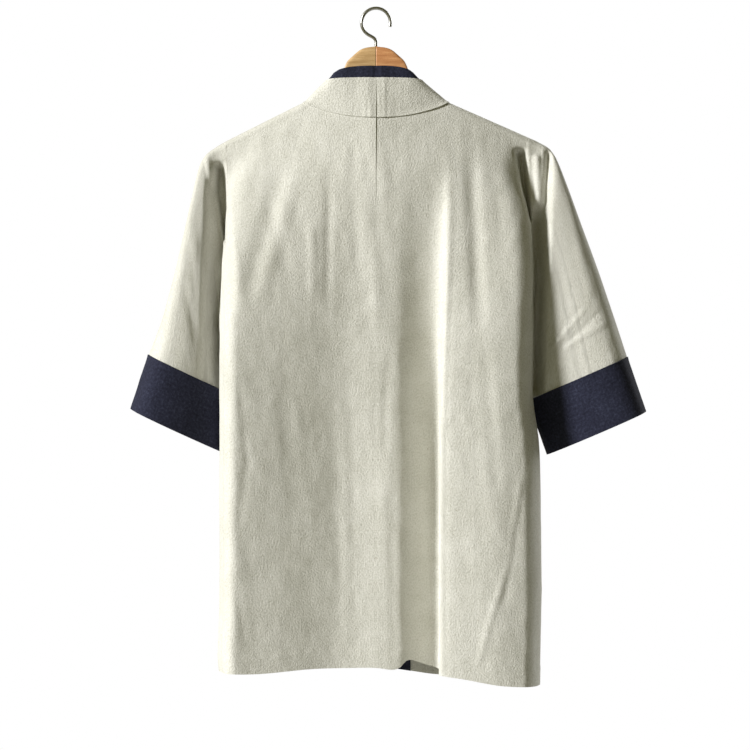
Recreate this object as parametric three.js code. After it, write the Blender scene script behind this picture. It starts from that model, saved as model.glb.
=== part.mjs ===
// A hanfu jacket with short sleeves, hung open at the front on a two-piece wooden hanger.
// Millimetres, +Z up. The origin is the inside top of the hook, where a rail carries it.
// The wearer's front faces -Y and the wearer's left is +X. A height is given as the drop below the origin.
import * as THREE from "three";

// Cloth
const wall = 1.4; // thickness of a cloth wall
const seamGap = 0.3; // between two pieces at a seam
const turnedGap = 0.4; // half the gap where two turned edges meet, at the shoulder and the side seams
const neckHalf = 90; // centre back to the neck point on the shoulder
const neckDrop = 135; // collar seam at the centre back
const neckPointDrop = 116; // collar seam on the shoulder
const neckCurve = 2.2; // power of the back neck curve
const standHeight = 49; // width of the collar band
const trimShow = 15; // how far the inner trim stands beyond the band
const trimWidth = 36; // width of the inner trim
const foldRadius = 45; // reach of the round edge of the body, across
const underarmTop = 325; // where the armhole starts to close
const underarmDrop = 398; // bottom of the armhole
const sideSeamDepth = -3; // depth of the side seams
const armRadius = 9; // round of the cloth over the hanger's arm
const tentReach = 170; // drop over which the cloth leaves the arm for its full depth
const columnReach = 110; // drop over which the columns leave the shoulder for the body's section
const tipBend = 12; // how far the hanger's tips come forward
const bendReach = 188; // distance from the centre at which the bend is full
const tipHalf = 173; // half the hanger's length
const bendFade = 260; // drop over which the cloth loses the hanger's bend
const hemLine = 850; // drop at which the folds have reached their lower place
const foldFade = 90; // drop over which a fold dies out at its end
const cuffStart = 1.002; // run of the cuff's seam, just past the sleeve's last section
const cuffEnd = 1.33; // run of the cuff's hem
const rollReach = 50; // drop below the ridge over which the side edge rolls in
const sleeveBlend = 0.24; // run over which the sleeve takes its own section
const armholeSpare = 1.5; // further gap where the sleeve leaves the armhole at an angle
const cuffProud = 0.9; // how far the cuff stands off the sleeve

// Hanger and hook
const armThickness = 11;
const armBevel = 2;
const armDepth = 15; // height of the arm under its top line
const humpDepth = 34; // height of the hanger at its centre
const humpReach = 75; // distance from the centre over which it narrows to the arm
const humpHalf = 44; // where the hump's side turns into the arm
const humpBlend = 12; // length of that turn
const armUnderRidge = 3.8; // the arm's top below the middle of the cloth
const tipRound = 7; // fall of the arm's rounded tip
const wireRadius = 2;
const hookRadius = 18;
const hookSides = 8;
const hookSteps = 32;
const armSteps = 22; // points along each edge of the hanger
const stemFoot = 45.6; // foot of the hook's stem, just above the hanger
const stemTop = 40;
const hookStart = -62; // the hook's arc, in degrees from +X
const hookEnd = 196;
const hookTurn = 18; // degrees between the arc's points

const colours = {
  cream: { color: 0xcfccbd, roughness: 0.95, metalness: 0 },
  navy: { color: 0x33384a, roughness: 0.92, metalness: 0 },
  honeyWood: { color: 0xb8996f, roughness: 0.5, metalness: 0 },
  amberWood: { color: 0xc09067, roughness: 0.5, metalness: 0 },
  steel: { color: 0xb4b4b2, roughness: 0.28, metalness: 1 },
};

// Each side of the jacket: how the shoulder falls, where its armhole seam is, how wide the collar's edge
// stands, and half the width of the body at each drop.
const sides = {
  left: {
    sign: 1,
    slope: 0.49,
    seamTip: 187,
    neckSpread: 1.08,
    halfWidths: [
      { drop: 160, half: 189 },
      { drop: 190, half: 184 },
      { drop: 215, half: 186 },
      { drop: 250, half: 187 },
      { drop: 295, half: 190 },
      { drop: 363, half: 194 },
      { drop: 550, half: 195 },
      { drop: 738, half: 195 },
      { drop: 800, half: 197 },
      { drop: 830, half: 195 },
    ],
  },
  right: {
    sign: -1,
    slope: 0.43,
    seamTip: 190,
    neckSpread: 1,
    halfWidths: [
      { drop: 160, half: 176 },
      { drop: 190, half: 173 },
      { drop: 213, half: 181 },
      { drop: 238, half: 188 },
      { drop: 275, half: 193 },
      { drop: 363, half: 196 },
      { drop: 413, half: 196 },
      { drop: 488, half: 196 },
      { drop: 540, half: 203 },
      { drop: 600, half: 205 },
      { drop: 738, half: 206 },
      { drop: 850, half: 204 },
    ],
  },
};

// How far the back and the front hang from the hanger's plane.
const depths = [
  { drop: 100, back: 30, front: 28 },
  { drop: 300, back: 38, front: 38 },
  { drop: 450, back: 44, front: 44 },
  { drop: 650, back: 48, front: 50 },
  { drop: 850, back: 50, front: 54 },
];

// The front edge of each front, where the collar band is sewn on.
const frontEdges = [
  { drop: 116, across: 90 },
  { drop: 200, across: 86 },
  { drop: 300, across: 78 },
  { drop: 420, across: 73 },
  { drop: 860, across: 72 },
];

// Hem of the back and of the front, from the right side (-X) to the left.
const hems = [
  { across: -206, back: 843, front: 843 },
  { across: -155, back: 840, front: 840 },
  { across: -110, back: 832, front: 838 },
  { across: -75, back: 823, front: 836 },
  { across: -42, back: 810, front: 834 },
  { across: -30, back: 811, front: 831 },
  { across: -20, back: 815, front: 828 },
  { across: 0, back: 816, front: 824 },
  { across: 40, back: 818, front: 822 },
  { across: 85, back: 821, front: 822 },
  { across: 145, back: 826, front: 824 },
  { across: 197, back: 825, front: 825 },
];

// The largest folds: place across at their top and at the hem, the drop where they start and where they
// reach their depth, their depth (a ridge is negative), their half widths towards -X and +X, and their end.
const backFolds = [
  { top: -62, low: -54, start: 175, full: 540, depth: 33, minus: 20, plus: 44, end: 0 },
  { top: 15, low: 15, start: 230, full: 540, depth: 22, minus: 92, plus: 150, end: 0 },
  { top: 178, low: 178, start: 200, full: 320, depth: -7, minus: 36, plus: 14, end: 0 },
  { top: 107, low: 176, start: 160, full: 240, depth: 5, minus: 20, plus: 18, end: 420 },
  { top: 59, low: 60, start: 180, full: 260, depth: 3.5, minus: 9, plus: 9, end: 400 },
  { top: 50, low: 52, start: 330, full: 480, depth: 5, minus: 22, plus: 60, end: 0 },
  { top: -116, low: -128, start: 160, full: 230, depth: 6, minus: 14, plus: 12, end: 420 },
  { top: 95, low: 157, start: 175, full: 260, depth: -4, minus: 14, plus: 14, end: 420 },
  { top: 14, low: 10, start: 320, full: 480, depth: -5, minus: 22, plus: 24, end: 0 },
  { top: -88, low: -86, start: 180, full: 280, depth: -7, minus: 15, plus: 14, end: 0 },
];
const frontFolds = [
  { top: 118, low: 132, start: 175, full: 290, depth: 12, minus: 20, plus: 24, end: 0 },
  { top: 160, low: 164, start: 250, full: 400, depth: -6, minus: 16, plus: 14, end: 0 },
  { top: -112, low: -122, start: 170, full: 300, depth: 9, minus: 22, plus: 18, end: 0 },
  { top: -150, low: -158, start: 210, full: 340, depth: -6, minus: 18, plus: 18, end: 0 },
  { top: -180, low: -100, start: 330, full: 470, depth: 5, minus: 16, plus: 18, end: 760 },
  { top: 96, low: 92, start: 420, full: 560, depth: -5, minus: 14, plus: 14, end: 0 },
];

// Sections of the sleeves from the armhole seam to the cuff: the outer and the inner end of each section
// (across, depth, drop) and how far its back and its front swell.
const sleeves = {
  left: [
    { run: 0, outX: 188, outY: -10, outDrop: 164, inX: 195, inY: -3, inDrop: 398, back: 10, front: 22 },
    { run: 0.06, outX: 200, outY: -11, outDrop: 171, inX: 198, inY: -9, inDrop: 403, back: 5, front: 21 },
    { run: 0.14, outX: 214, outY: -12, outDrop: 182, inX: 198, inY: -17, inDrop: 409, back: 17, front: 26 },
    { run: 0.24, outX: 223, outY: -12, outDrop: 202, inX: 197, inY: -26, inDrop: 416, back: 20, front: 28 },
    { run: 0.4, outX: 238, outY: -12, outDrop: 268, inX: 194, inY: -38, inDrop: 429, back: 25, front: 32 },
    { run: 0.6, outX: 252, outY: -12, outDrop: 330, inX: 191, inY: -49, inDrop: 445, back: 31, front: 38 },
    { run: 0.8, outX: 267, outY: -10, outDrop: 390, inX: 190, inY: -57, inDrop: 461, back: 36, front: 44 },
    { run: 1, outX: 281, outY: -8, outDrop: 433, inX: 190, inY: -63, inDrop: 477, back: 38, front: 48 },
    { run: 1.33, outX: 304, outY: -6, outDrop: 501, inX: 198, inY: -64, inDrop: 552, back: 40, front: 48 },
  ],
  right: [
    { run: 0, outX: 191, outY: -10, outDrop: 159, inX: 196, inY: -3, inDrop: 398, back: 10, front: 22 },
    { run: 0.06, outX: 204, outY: -11, outDrop: 165, inX: 200, inY: -9, inDrop: 404, back: 1, front: 21 },
    { run: 0.14, outX: 219, outY: -12, outDrop: 175, inX: 200, inY: -17, inDrop: 411, back: 3, front: 26 },
    { run: 0.24, outX: 231, outY: -12, outDrop: 198, inX: 199, inY: -26, inDrop: 420, back: 24, front: 28 },
    { run: 0.4, outX: 257, outY: -13, outDrop: 268, inX: 196, inY: -37, inDrop: 436, back: 27, front: 31 },
    { run: 0.6, outX: 278, outY: -14, outDrop: 325, inX: 193, inY: -46, inDrop: 454, back: 29, front: 36 },
    { run: 0.8, outX: 297, outY: -15, outDrop: 381, inX: 193, inY: -52, inDrop: 471, back: 31, front: 40 },
    { run: 1, outX: 314, outY: -16, outDrop: 434, inX: 196, inY: -55, inDrop: 486, back: 32, front: 43 },
    { run: 1.33, outX: 338, outY: -18, outDrop: 503, inX: 220, inY: -52, inDrop: 555, back: 32, front: 43 },
  ],
};
const sleeveRuns = [0, 0.03, 0.06, 0.1, 0.14, 0.19, 0.24, 0.32, 0.42, 0.56, 0.7, 0.85, 1];

// The free edge of the collar band, from the centre back (run 0) over the shoulder (run 1) down the front.
const bandEdges = [
  { run: 0, across: 0, depth: 15, drop: 86 },
  { run: 0.35, across: 24, depth: 14, drop: 86 },
  { run: 0.7, across: 43, depth: 12.5, drop: 86.5 },
  { run: 0.88, across: 53, depth: 9, drop: 87.5 },
  { run: 1, across: 59, depth: 0, drop: 90 },
  { run: 1.04, across: 59.5, depth: -11, drop: 97 },
  { run: 1.08, across: 56, depth: -15, drop: 106 },
  { run: 1.22, across: 44, depth: -20, drop: 165 },
  { run: 1.4, across: 33, depth: -30, drop: 262 },
  { run: 1.65, across: 25, depth: -42, drop: 420 },
  { run: 1.85, across: 23, depth: -49, drop: 600 },
  { run: 2.1, across: 23, depth: -53, drop: 780 },
  { run: 2.2, across: 23, depth: -54, drop: 835 },
];
const bandRuns = [
  0, 0.12, 0.25, 0.38, 0.5, 0.62, 0.72, 0.8, 0.87, 0.93, 0.97, 1, 1.02, 1.04, 1.06, 1.09, 1.13, 1.18, 1.25, 1.33, 1.42,
  1.52, 1.62, 1.72, 1.82, 1.92, 2.02, 2.11, 2.2,
];
const bandFrontRuns = [
  { run: 1, drop: 116 },
  { run: 1.08, drop: 142 },
  { run: 1.22, drop: 190 },
  { run: 1.4, drop: 275 },
  { run: 1.65, drop: 424 },
  { run: 1.85, drop: 600 },
  { run: 2.1, drop: 780 },
  { run: 2.2, drop: 835 },
];

// Top line of the hanger's hump. Beyond it the arm lies just under the shoulder ridge.
const humpTop = [
  { across: 0, drop: 46 },
  { across: 12, drop: 47.5 },
  { across: 20, drop: 50.5 },
  { across: 29, drop: 58 },
  { across: 36, drop: 65 },
  { across: 40, drop: 74 },
  { across: 43, drop: 86 },
  { across: 50, drop: 98 },
];

// Angles round half a sleeve, from its outer end, in degrees. The body's rows above the underarm share them.
const halfTurn = [0, 8, 16, 24, 42, 60, 80, 100, 120, 140, 160, 180];
const fullTurn = [...halfTurn, ...halfTurn.slice(1, -1).reverse().map((degrees) => -degrees)];
const panelColumns = { back_left: 18, back_right: 25, front_left: 12, front_right: 12 };
const lowerRows = 9;
const cuffRows = 3;
const bandColumns = 2;

// One column of a table at a place along its key column, eased from row to row.
function along(rows, key, place, column) {
  const last = rows.length - 1;
  if (place <= rows[0][key]) return rows[0][column];
  if (place >= rows[last][key]) return rows[last][column];
  let i = 0;
  while (rows[i + 1][key] < place) i += 1;
  const slope = (j) => {
    const before = rows[Math.max(j - 1, 0)];
    const after = rows[Math.min(j + 1, last)];
    return (after[column] - before[column]) / (after[key] - before[key]);
  };
  const span = rows[i + 1][key] - rows[i][key];
  const t = (place - rows[i][key]) / span;
  const t2 = t * t;
  const t3 = t2 * t;
  return (
    (2 * t3 - 3 * t2 + 1) * rows[i][column] +
    (t3 - 2 * t2 + t) * span * slope(i) +
    (3 * t2 - 2 * t3) * rows[i + 1][column] +
    (t3 - t2) * span * slope(i + 1)
  );
}

const clamp01 = (value) => Math.min(1, Math.max(0, value));
const mix = (a, b, share) => a + (b - a) * share;
const toRadians = THREE.MathUtils.degToRad;
const armholeDrop = (top, degrees) => mix(top, underarmDrop, (1 - Math.cos(toRadians(degrees))) / 2);
const ease = (value) => clamp01(value) ** 2 * (3 - 2 * clamp01(value));

// Drop of the shoulder ridge at a distance from the centre. Inside the neck the line simply goes on.
const ridgeDrop = (side, across) => neckPointDrop + sides[side].slope * (across - neckHalf);

// Drop of the top edge of a back column: the neck seam, then the shoulder seam.
function topDrop(side, across) {
  if (across >= neckHalf) return ridgeDrop(side, across);
  return neckDrop - (neckDrop - neckPointDrop) * (across / neckHalf) ** neckCurve;
}

// How far the hanger's arm lies forward at a distance from the centre.
const armForward = (across) => -tipBend * Math.min(1, across / bendReach) ** 2;

// Depth of a panel away from the hanger's plane: round over the arm, then opening like a tent.
function standOff(face, below, drop) {
  const round = Math.min(below, armRadius);
  const over = Math.sqrt(Math.max(0, armRadius ** 2 - (armRadius - round) ** 2));
  const open = clamp01((below - armRadius) / tentReach);
  return over + (along(depths, "drop", drop, face) - armRadius) * (1 - (1 - open) ** 2);
}

// Sum of the folds of a face at a place: each is a smooth hollow with its own half width on either side.
function foldDepth(face, x, drop) {
  let sum = 0;
  for (const fold of face === "back" ? backFolds : frontFolds) {
    const end = fold.end || hemLine;
    const line = mix(fold.top, fold.low, clamp01((drop - fold.start) / (end - fold.start)));
    const off = x - line;
    const reach = Math.abs(off) / (off < 0 ? fold.minus : fold.plus);
    if (reach >= 1) continue;
    const grown = ease((drop - fold.start) / (fold.full - fold.start));
    const fading = fold.end ? 1 - ease((drop - fold.end + foldFade) / foldFade) : 1;
    sum += fold.depth * grown * fading * Math.cos((reach * Math.PI) / 2) ** 2;
  }
  return sum;
}

const faces = {
  back: { sign: 1, straight: 0.7, curl: 125, share: 0.46 },
  front: { sign: -1, straight: 0.52, curl: 118, share: 0.24 },
};

// A point of a body panel: u runs from its inner edge (0) to the side seam or armhole (1).
function panelPoint(side, face, u, drop) {
  const cut = sides[side];
  const shape = faces[face];
  const half = along(cut.halfWidths, "drop", drop, "half");
  const inner = face === "back" ? seamGap / 2 : along(frontEdges, "drop", drop, "across") + seamGap;
  const innerTop = face === "back" ? seamGap / 2 : neckHalf;
  const acrossTop = mix(innerTop, cut.seamTip, u);
  const closed = ease((drop - underarmTop) / (underarmDrop - underarmTop));
  const round = clamp01((u - shape.straight) / (1 - shape.straight));
  const turn = toRadians(mix(shape.curl, 90, closed)) * round;
  const flat = mix(inner, half - foldRadius, Math.min(1, u / shape.straight));
  const leave = ease((drop - topDrop(side, acrossTop)) / columnReach);
  const across = mix(acrossTop, flat + foldRadius * Math.sin(turn), leave);
  const below = Math.max(0, drop - ridgeDrop(side, across));
  const full = standOff(face, below, drop);
  const edge = shape.sign * sideSeamDepth + turnedGap;
  const swing = mix(shape.share * ease(below / rollReach) * full, full - edge, closed);
  const fold = foldDepth(face, cut.sign * across, drop) * Math.max(0, Math.cos(turn));
  const middle = armForward(across) * (1 - ease(below / bendFade));
  const depth = middle + shape.sign * (full - swing * (1 - Math.cos(turn)) - fold);
  return new THREE.Vector3(cut.sign * across, depth, -drop);
}

// A closed wall of cloth about a grid of points. A ring grid joins its last column to its first.
function clothWall(grid, ring = false, thickness = wall, lift = 0) {
  const rows = grid.length;
  const columns = grid[0].length;
  const positions = [];
  const index = [];
  const pick = (i, j) => {
    const row = Math.min(rows - 1, Math.max(0, i));
    const column = ring ? (j + columns) % columns : Math.min(columns - 1, Math.max(0, j));
    return grid[row][column];
  };
  for (const offset of [lift + thickness / 2, lift - thickness / 2]) {
    for (let i = 0; i < rows; i += 1) {
      for (let j = 0; j < columns; j += 1) {
        const down = pick(i + 1, j).clone().sub(pick(i - 1, j));
        const over = pick(i, j + 1).clone().sub(pick(i, j - 1));
        const normal = over.cross(down).normalize();
        const point = grid[i][j].clone().addScaledVector(normal, offset);
        positions.push(point.x, point.y, point.z);
      }
    }
  }
  const upper = (i, j) => i * columns + ((j + columns) % columns);
  const lower = (i, j) => rows * columns + upper(i, j);
  const quad = (a, b, c, d) => index.push(a, b, c, a, c, d);
  const spans = ring ? columns : columns - 1;
  for (let i = 0; i < rows - 1; i += 1) {
    for (let j = 0; j < spans; j += 1) {
      quad(upper(i, j), upper(i, j + 1), upper(i + 1, j + 1), upper(i + 1, j));
      quad(lower(i, j), lower(i + 1, j), lower(i + 1, j + 1), lower(i, j + 1));
    }
  }
  for (let j = 0; j < spans; j += 1) {
    quad(upper(0, j), lower(0, j), lower(0, j + 1), upper(0, j + 1));
    quad(upper(rows - 1, j), upper(rows - 1, j + 1), lower(rows - 1, j + 1), lower(rows - 1, j));
  }
  if (!ring) {
    for (let i = 0; i < rows - 1; i += 1) {
      quad(upper(i, 0), upper(i + 1, 0), lower(i + 1, 0), lower(i, 0));
      quad(upper(i, columns - 1), lower(i, columns - 1), lower(i + 1, columns - 1), upper(i + 1, columns - 1));
    }
  }
  const geometry = new THREE.BufferGeometry();
  geometry.setAttribute("position", new THREE.Float32BufferAttribute(positions, 3));
  geometry.setIndex(index);
  geometry.computeVertexNormals();
  return geometry;
}

function piece(name, geometry, finish) {
  const mesh = new THREE.Mesh(geometry, new THREE.MeshStandardMaterial(finish));
  mesh.name = name;
  return mesh;
}

// Drops of a column's rows: one for each angle of the half turn down to the armhole's bottom, then even rows.
function columnDrops(top, hem) {
  const drops = halfTurn.map((degrees) => armholeDrop(top, degrees));
  for (let i = 1; i <= lowerRows; i += 1) drops.push(mix(underarmDrop, hem, i / lowerRows));
  return drops;
}

function bodyPanel(side, face) {
  const cut = sides[side];
  const count = panelColumns[`${face}_${side}`];
  const columns = [];
  for (let j = 0; j <= count; j += 1) {
    const u = j / count;
    const innerTop = face === "back" ? seamGap / 2 : neckHalf;
    const seam = face === "back" && mix(innerTop, cut.seamTip, u) < neckHalf ? seamGap / 2 + wall / 2 : 0;
    const top = topDrop(side, mix(innerTop, cut.seamTip, u)) + seam;
    const low = panelPoint(side, face, u, hems[0].back).x;
    const hem = along(hems, "across", low, face);
    columns.push(columnDrops(top, hem).map((drop) => panelPoint(side, face, u, drop)));
  }
  const grid = columns[0].map((_, i) => columns.map((column) => column[i]));
  for (const point of grid[0]) point.y += faces[face].sign * turnedGap;
  return clothWall(grid);
}

// Ring of a sleeve at a run from the armhole (0) to the cuff's hem, as points round the tube.
function sleeveRing(side, run, proud = 0) {
  const sign = sides[side].sign;
  const take = (column) => along(sleeves[side], "run", run, column);
  const outer = new THREE.Vector3(sign * take("outX"), take("outY"), -take("outDrop"));
  const inner = new THREE.Vector3(sign * take("inX"), take("inY"), -take("inDrop"));
  const middle = outer.clone().add(inner).multiplyScalar(0.5);
  const half = outer.clone().sub(inner).multiplyScalar(0.5);
  const line = half.clone().normalize();
  const swell = new THREE.Vector3(0, 1, 0).addScaledVector(line, -line.y).normalize();
  return fullTurn.map((degrees) => {
    const angle = toRadians(degrees);
    const reach = Math.cos(angle) * (1 + proud / half.length());
    const deep = Math.sin(angle) * (take(degrees > 0 ? "back" : "front") + proud);
    return middle.clone().addScaledVector(half, reach).addScaledVector(swell, deep);
  });
}

// The armhole's own edge, moved off the body panels by the seam.
function armholeRing(side) {
  const cut = sides[side];
  const top = topDrop(side, cut.seamTip);
  return fullTurn.map((degrees) => {
    const face = degrees >= 0 ? "back" : "front";
    const drop = armholeDrop(top, degrees);
    const edge = panelPoint(side, face, 1, drop);
    const ahead = edge.clone().sub(panelPoint(side, face, 0.97, drop)).normalize();
    const turned = 1 - Math.max(0, cut.sign * ahead.x) ** 2;
    edge.x += cut.sign * (2 * seamGap + turned * (wall / 2 + armholeSpare));
    return edge;
  });
}

function sleeve(side) {
  const armhole = armholeRing(side);
  const root = sleeveRing(side, 0);
  const rings = sleeveRuns.map((run) => {
    const share = ease(run / sleeveBlend);
    return sleeveRing(side, run).map((point, k) => {
      const moved = point.clone().sub(root[k]).add(armhole[k]);
      return moved.lerp(point, share);
    });
  });
  return clothWall(rings, true);
}

function cuff(side) {
  const rings = [];
  for (let i = 0; i <= cuffRows; i += 1) {
    rings.push(sleeveRing(side, mix(cuffStart, cuffEnd, i / cuffRows), cuffProud));
  }
  return clothWall(rings, true);
}

// Share of the band's own length at which the front's hem lies at a place across.
const hemShare = (sign, across) => along(hems, "across", sign * across, "front") / bandEdges.at(-1).drop;

// A point of the collar band: run from the centre back to the hem, width from its seam to its free edge.
function bandPoint(side, run, width) {
  const sign = sides[side].sign;
  const shoulderEnd = 1;
  const lower = ease(run - shoulderEnd);
  let seam;
  if (run <= shoulderEnd) {
    const across = mix(seamGap / 2, neckHalf, run);
    const drop = topDrop(side, across);
    const below = Math.max(0, drop - ridgeDrop(side, across));
    seam = new THREE.Vector3(sign * across, armForward(across) + standOff("back", below, drop), -drop);
  } else {
    const drop = along(bandFrontRuns, "run", run, "drop");
    seam = panelPoint(side, "front", 0, drop * mix(1, hemShare(sign, frontEdges.at(-1).across), lower));
    seam.x -= sign * 3 * seamGap;
  }
  const spread = mix(sides[side].neckSpread, 1, ease(run - shoulderEnd));
  const free = new THREE.Vector3(
    sign * Math.max(seamGap / 2, spread * along(bandEdges, "run", run, "across")),
    along(bandEdges, "run", run, "depth"),
    -along(bandEdges, "run", run, "drop") * mix(1, hemShare(sign, bandEdges.at(-1).across), lower),
  );
  return seam.lerp(free, width / standHeight);
}

function bandGrid(side, from, to) {
  const grid = [];
  for (const run of bandRuns) {
    const row = [];
    for (let j = 0; j <= bandColumns; j += 1) row.push(bandPoint(side, run, mix(from, to, j / bandColumns)));
    grid.push(row);
  }
  return grid;
}

// The band is sewn to the neck and front edges. The trim lies inside it and stands out beyond its free edge.
const band = (side) => clothWall(bandGrid(side, wall / 2, standHeight));
function trim(side) {
  const from = standHeight + trimShow - trimWidth;
  const inwards = -sides[side].sign * (wall + seamGap);
  return clothWall(bandGrid(side, from, standHeight + trimShow), false, wall, inwards);
}

// Half of the hanger: its outline along the top line, cut square at the centre, bent forward to its tip.
function hangerArm(side) {
  const { sign } = sides[side];
  const shape = new THREE.Shape();
  const spread = (t) => mix(armBevel + seamGap / 2, tipHalf - armBevel, t);
  const top = (x) => {
    const line = ridgeDrop(side, x) + armUnderRidge + tipRound * ease((x - tipHalf + tipRound) / tipRound);
    return -mix(along(humpTop, "across", x, "drop"), line, ease((x - humpHalf) / humpBlend)) - armBevel;
  };
  const under = (x) => top(x) - mix(humpDepth, armDepth, ease(x / humpReach)) + 2 * armBevel;
  shape.moveTo(sign * spread(0), under(spread(0)));
  for (let i = 1; i <= 2 * armSteps + 1; i += 1) {
    const x = spread(i <= armSteps ? i / armSteps : 2 - (i - 1) / armSteps);
    shape.lineTo(sign * x, i <= armSteps ? under(x) : top(x));
  }
  const solid = new THREE.ExtrudeGeometry(shape, {
    depth: armThickness - 2 * armBevel,
    bevelThickness: armBevel,
    bevelSize: armBevel,
    bevelSegments: 1,
    steps: 1,
  });
  const points = solid.attributes.position;
  for (let i = 0; i < points.count; i += 1) {
    const across = Math.max(seamGap / 2, sign * points.getX(i));
    const deep = (armThickness - 2 * armBevel) / 2 - points.getZ(i);
    points.setXYZ(i, sign * across, deep + armForward(across), points.getY(i));
  }
  return solid;
}

// The hook: a straight stem, then most of a circle whose inside top is the origin.
function hook() {
  const centre = wireRadius - hookRadius;
  const points = [new THREE.Vector3(0, 0, -stemFoot), new THREE.Vector3(0, 0, -stemTop)];
  for (let degrees = hookStart; degrees <= hookEnd; degrees += hookTurn) {
    const angle = toRadians(degrees);
    points.push(new THREE.Vector3(hookRadius * Math.cos(angle), 0, centre + hookRadius * Math.sin(angle)));
  }
  const section = new THREE.Shape();
  for (let k = 0; k < hookSides; k += 1) {
    const angle = (2 * Math.PI * k) / hookSides;
    const x = wireRadius * Math.cos(angle);
    const y = wireRadius * Math.sin(angle);
    if (k === 0) section.moveTo(x, y);
    else section.lineTo(x, y);
  }
  const path = new THREE.CatmullRomCurve3(points);
  return new THREE.ExtrudeGeometry(section, { steps: hookSteps, extrudePath: path, bevelEnabled: false });
}

const jacket = new THREE.Group();
for (const side of ["left", "right"]) {
  jacket.add(piece(`back_${side}`, bodyPanel(side, "back"), colours.cream));
  jacket.add(piece(`front_${side}`, bodyPanel(side, "front"), colours.cream));
  jacket.add(piece(`sleeve_${side}`, sleeve(side), colours.cream));
  jacket.add(piece(`cuff_${side}`, cuff(side), colours.navy));
  jacket.add(piece(`collar_${side}`, band(side), colours.cream));
  jacket.add(piece(`trim_${side}`, trim(side), colours.navy));
}

const hanger = new THREE.Group();
hanger.add(piece("hanger_left", hangerArm("left"), colours.honeyWood));
hanger.add(piece("hanger_right", hangerArm("right"), colours.amberWood));
hanger.add(piece("hook", hook(), colours.steel));

const part = new THREE.Group();
part.add(jacket, hanger);

export default part;
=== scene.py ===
import math

import bmesh
import bpy
import numpy as np
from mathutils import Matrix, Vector


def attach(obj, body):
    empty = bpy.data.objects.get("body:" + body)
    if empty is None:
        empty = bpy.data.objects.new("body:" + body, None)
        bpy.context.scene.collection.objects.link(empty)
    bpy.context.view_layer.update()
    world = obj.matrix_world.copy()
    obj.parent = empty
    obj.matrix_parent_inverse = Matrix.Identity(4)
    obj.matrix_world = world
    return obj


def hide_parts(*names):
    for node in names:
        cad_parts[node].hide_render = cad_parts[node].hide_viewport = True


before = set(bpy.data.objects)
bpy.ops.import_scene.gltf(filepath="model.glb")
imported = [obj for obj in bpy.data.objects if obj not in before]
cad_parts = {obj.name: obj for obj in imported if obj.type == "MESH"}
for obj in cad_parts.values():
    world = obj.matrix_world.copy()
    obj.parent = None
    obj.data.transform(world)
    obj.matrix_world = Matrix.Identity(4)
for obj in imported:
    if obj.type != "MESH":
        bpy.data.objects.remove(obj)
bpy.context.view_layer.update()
scene = bpy.context.scene

# Lengths are millimetres until a mesh is made. X runs to the wearer's left, Y to the wearer's back, Z up from
# the hook, and a height is given as the drop below it. Tables have named columns with one entry a row.
mm = 0.001

cloth = {
    "wall": 1.3,  # thickness of one cloth
    "seamGap": 0.3,
    "meet": 0.004,  # half the gap where two edges are sewn to each other
    "turnedGap": 0.02,
    "hemWidth": 22,  # turn-up at the hem
    "hemProud": 0.55,  # how far the turn-up stands out
    "hemStep": 3,  # over how much cloth it does so
    "stitchDeep": 0.25,  # ridge of stitches at the turn-up's edge
    "stitchWave": 3.1,
    "stitchWander": 20,
    "stitchReach": 3.5,
}

cut = {
    "neckHalf": 90,
    "neckDrop": 135,
    "neckPointDrop": 116,
    "neckCurve": 2.2,
    "foldRadius": 24,
    "underarmTop": 325,
    "underarmDrop": 398,
    "sideSeamDepth": -3,
    "armRadius": 9,
    "tentReach": 170,
    "columnReach": 110,
    "rollReach": 50,
    "tipBend": 12,
    "bendReach": 188,
    "bendFade": 260,
    "hemLine": 850,
    "evenInHeight": 0.6,  # share of the height, beside the angle, in the armhole's rows
    "foldFade": 90,
}

signs = {"left": 1, "right": -1}
sides = {
    "left": {
        "slope": 0.49,
        "seamTip": 187,
        "neckSpread": 1.08,
        "halves": {
            "drop": (160, 190, 215, 250, 295, 363, 550, 738, 800, 830),
            "half": (189, 184, 186, 187, 190, 194, 195, 195, 197, 195),
        },
    },
    "right": {
        "slope": 0.43,
        "seamTip": 190,
        "neckSpread": 1,
        "halves": {
            "drop": (160, 190, 213, 238, 275, 363, 413, 488, 540, 600, 738, 850),
            "half": (176, 173, 181, 188, 193, 196, 196, 196, 203, 205, 206, 204),
        },
    },
}

depths = {"drop": (100, 300, 450, 650, 850), "back": (30, 38, 44, 48, 50), "front": (28, 38, 44, 50, 54)}
frontEdges = {"drop": (116, 200, 300, 420, 860), "across": (90, 86, 78, 73, 72)}
hems = {
    "across": (-206, -155, -110, -75, -43, -36, -30, -21, 0, 40, 85, 145, 197),
    "back": (843, 840, 832, 826, 813, 814, 821, 824, 821.5, 821.5, 822, 826, 825),
    "front": (843, 840, 838, 836, 834, 832, 831, 828, 824, 822, 822, 824, 825),
}
faces = {
    "back": {"sign": 1, "straight": 0.7, "curl": 125, "share": 0.46},
    "front": {"sign": -1, "straight": 0.52, "curl": 118, "share": 0.24},
}

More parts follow.
